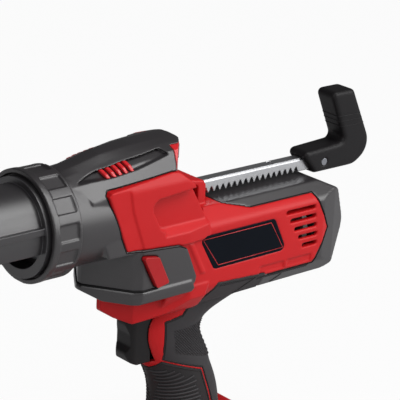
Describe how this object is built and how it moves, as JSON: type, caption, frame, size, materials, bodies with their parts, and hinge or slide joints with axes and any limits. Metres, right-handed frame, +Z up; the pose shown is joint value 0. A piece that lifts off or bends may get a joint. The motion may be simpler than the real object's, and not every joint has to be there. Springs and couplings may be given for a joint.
{
  "type": "cordless caulking tool",
  "caption": "Pistol-grip cordless caulking gun: turning half-tube cartridge cradle with ring nut, toothed push rod, speed dial, cross-bolt lock, trigger and slide-on battery.",
  "frame": {"origin": "on the battery's flat underside, 13 mm ahead of the battery's middle, in the tool's middle plane", "axes": "+X forward along the push rod towards the nozzle, +Y to the tool's left side, +Z up"},
  "size_m": [0.5113, 0.076, 0.288],
  "materials": {
    "red_shell": "fine satin mould texture",
    "black_plastic": "satin mould texture",
    "cradle_plastic": "smooth satin",
    "handle_plastic": "coarse mould texture",
    "dial_plastic": "satin with printed figures",
    "trigger_plastic": "fine mould texture",
    "soft_grip": "dull moulded rubber",
    "accent_red": "semi-gloss",
    "badge_plate": "printed film under clear lacquer",
    "rack_steel": "drawn and oiled",
    "gear_steel": "machined",
    "screw_steel": "zinc plated",
    "motor_can": "plated can",
    "inner_plastic": "plain moulding",
    "bush_brass": "sintered",
    "board_green": "solder mask",
    "cell_can": "shrink sleeve"
  },
  "bodies": {
    "housing": {"accent_bars": "accent_red", "dial_bezel": "accent_red", "nose_housing": "black_plastic", "guide_plate": "gear_steel", "guide_plate_screws": "screw_steel", "dial_pot": "inner_plastic", "rear_cap": "black_plastic", "palm_overmould": "soft_grip", "finger_overmould": "soft_grip", "badge_left": "badge_plate", "badge_right": "badge_plate", "housing_screws": "screw_steel", "housing_left": "red_shell", "housing_right": "red_shell", "rear_guide": "inner_plastic", "gear_case": "inner_plastic", "motor": "motor_can", "motor_mounts": "inner_plastic", "shaft_bushes": "bush_brass", "switch_module": "inner_plastic", "control_board": "board_green", "terminal_block": "inner_plastic", "terminal_blades": "bush_brass"},
    "rod": {"rack_rod": "rack_steel", "plunger": "black_plastic", "plunger_screw": "screw_steel", "pull_handle": "handle_plastic", "handle_pin": "screw_steel"},
    "upper_shaft": {"rod_pinion": "gear_steel", "spur_wheel": "gear_steel"},
    "lower_shaft": {"spur_pinion_shaft": "gear_steel", "bevel_wheel": "gear_steel"},
    "carrier": {"planet_carrier": "gear_steel", "bevel_pinion": "gear_steel"},
    "rotor": {"rotor_sun": "gear_steel", "motor_fan": "inner_plastic"},
    "planet_a": {"planet_gear_a": "gear_steel"},
    "planet_b": {"planet_gear_b": "gear_steel"},
    "planet_c": {"planet_gear_c": "gear_steel"},
    "ring": {"ring_nut": "black_plastic"},
    "cradle": {"cradle_trough": "cradle_plastic", "cradle_flange": "cradle_plastic", "cradle_end_cap": "cradle_plastic"},
    "trigger": {"trigger": "trigger_plastic"},
    "cross_button": {"cross_button": "accent_red"},
    "dial": {"speed_dial": "dial_plastic"},
    "battery": {"battery_tray": "black_plastic", "battery_lid": "black_plastic", "battery_cells": "cell_can"},
    "latch": {"battery_latch": "accent_red"}
  },
  "joints": [
    {"name": "rod_slide", "type": "slide", "parent": "housing", "child": "rod", "axis": [1, 0, 0], "range_m": [-0.112, 0.088]},
    {"name": "pinion_spin", "type": "hinge", "parent": "housing", "child": "upper_shaft", "pos_m": [0.02, 0, 0.2275], "axis": [0, 1, 0], "range_deg": [-671, 528]},
    {"name": "wheel_shaft_spin", "type": "hinge", "parent": "housing", "child": "lower_shaft", "pos_m": [0.02, 0, 0.202], "axis": [0, 1, 0], "range_deg": [-965, 1228]},
    {"name": "carrier_spin", "type": "hinge", "parent": "housing", "child": "carrier", "pos_m": [-0.012, 0, 0.202], "axis": [1, 0, 0], "range_deg": [-1841, 1447]},
    {"name": "rotor_spin", "type": "hinge", "parent": "housing", "child": "rotor", "pos_m": [-0.06, 0, 0.202], "axis": [1, 0, 0], "range_deg": [-9194, 7224]},
    {"name": "planet_a_spin", "type": "hinge", "parent": "carrier", "child": "planet_a", "pos_m": [-0.0172, 0.0135, 0.202], "axis": [1, 0, 0], "range_deg": [-3854, 4904]},
    {"name": "planet_b_spin", "type": "hinge", "parent": "carrier", "child": "planet_b", "pos_m": [-0.0172, -0.00675, 0.21369], "axis": [1, 0, 0], "range_deg": [-3854, 4904]},
    {"name": "planet_c_spin", "type": "hinge", "parent": "carrier", "child": "planet_c", "pos_m": [-0.0172, -0.00675, 0.19031], "axis": [1, 0, 0], "range_deg": [-3854, 4904]},
    {"name": "ring_turn", "type": "hinge", "parent": "housing", "child": "ring", "pos_m": [0.1145, 0, 0.24], "axis": [1, 0, 0], "range_deg": [0, 90]},
    {"name": "cradle_turn", "type": "hinge", "parent": "housing", "child": "cradle", "pos_m": [0.235, 0, 0.24], "axis": [1, 0, 0], "continuous": true},
    {"name": "trigger_pull", "type": "slide", "parent": "housing", "child": "trigger", "axis": [-1, 0, 0], "range_m": [0, 0.006], "stiffness_N_per_m": 900, "springref_m": -0.002},
    {"name": "button_push", "type": "slide", "parent": "housing", "child": "cross_button", "axis": [0, -1, 0], "range_m": [0, 0.0025]},
    {"name": "dial_turn", "type": "hinge", "parent": "housing", "child": "dial", "pos_m": [0.0213, 0, 0.2715], "axis": [0, 0, 1], "range_deg": [-100, 100]},
    {"name": "battery_slide", "type": "slide", "parent": "housing", "child": "battery", "axis": [1, 0, 0], "range_m": [0, 0.09]},
    {"name": "latch_press", "type": "slide", "parent": "battery", "child": "latch", "axis": [0, 0, -1], "range_m": [0, 0.0045], "stiffness_N_per_m": 1500, "springref_m": -0.002}
  ],
  "couplings": [
    {"joint": "pinion_spin", "follows": "rod_slide", "rad_per_m": 104.17},
    {"joint": "wheel_shaft_spin", "follows": "rod_slide", "rad_per_m": -190.97},
    {"joint": "carrier_spin", "follows": "rod_slide", "rad_per_m": 286.46},
    {"joint": "rotor_spin", "follows": "rod_slide", "rad_per_m": 1432.3},
    {"joint": "planet_a_spin", "follows": "rod_slide", "rad_per_m": -763.89},
    {"joint": "planet_b_spin", "follows": "rod_slide", "rad_per_m": -763.89},
    {"joint": "planet_c_spin", "follows": "rod_slide", "rad_per_m": -763.89}
  ]
}
